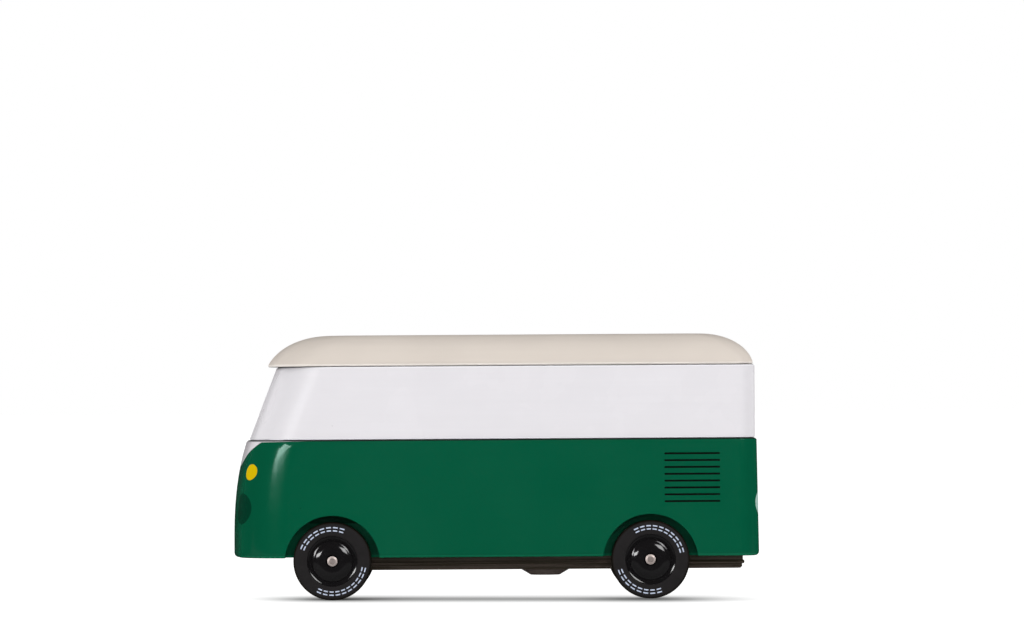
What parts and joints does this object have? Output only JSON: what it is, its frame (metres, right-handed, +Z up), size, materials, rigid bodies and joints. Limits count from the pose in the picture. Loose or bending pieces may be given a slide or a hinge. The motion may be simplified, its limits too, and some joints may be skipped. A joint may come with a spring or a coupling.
{
  "type": "toy van",
  "caption": "Painted wooden toy van: green lower block, white window band and cream roof on a black chassis plate, with tyred wheels that turn with their steel axles.",
  "frame": {"origin": "on the floor, under the middle of the whole toy", "axes": "+Z up, -X towards the van's nose, +X towards its tail, -Y towards the van's left side"},
  "size_m": [0.172, 0.068, 0.0862],
  "materials": {
    "green_painted_wood": "satin green paint",
    "white_painted_wood": "satin white paint",
    "cream_painted_wood": "satin cream paint",
    "black_moulding": "moulded, matte",
    "screw_steel": "dark zinc",
    "axle_steel": "turned",
    "hub_plastic": "gloss",
    "tyre_rubber": "matte"
  },
  "bodies": {
    "body": {"lower_body": "green_painted_wood", "window_band": "white_painted_wood", "roof": "cream_painted_wood", "chassis": "black_moulding", "chassis_screws": "screw_steel"},
    "front_wheelset": {"front_axle": "axle_steel", "hub_front_near": "hub_plastic", "hub_front_far": "hub_plastic", "tyre_front_near": "tyre_rubber", "tyre_front_far": "tyre_rubber"},
    "rear_wheelset": {"rear_axle": "axle_steel", "hub_rear_near": "hub_plastic", "hub_rear_far": "hub_plastic", "tyre_rear_near": "tyre_rubber", "tyre_rear_far": "tyre_rubber"}
  },
  "joints": [
    {"name": "front_axle_spin", "type": "hinge", "parent": "body", "child": "front_wheelset", "pos_m": [-0.053, 0, 0.0127], "axis": [0, 1, 0], "continuous": true},
    {"name": "rear_axle_spin", "type": "hinge", "parent": "body", "child": "rear_wheelset", "pos_m": [0.0505, 0, 0.0127], "axis": [0, 1, 0], "continuous": true}
  ]
}
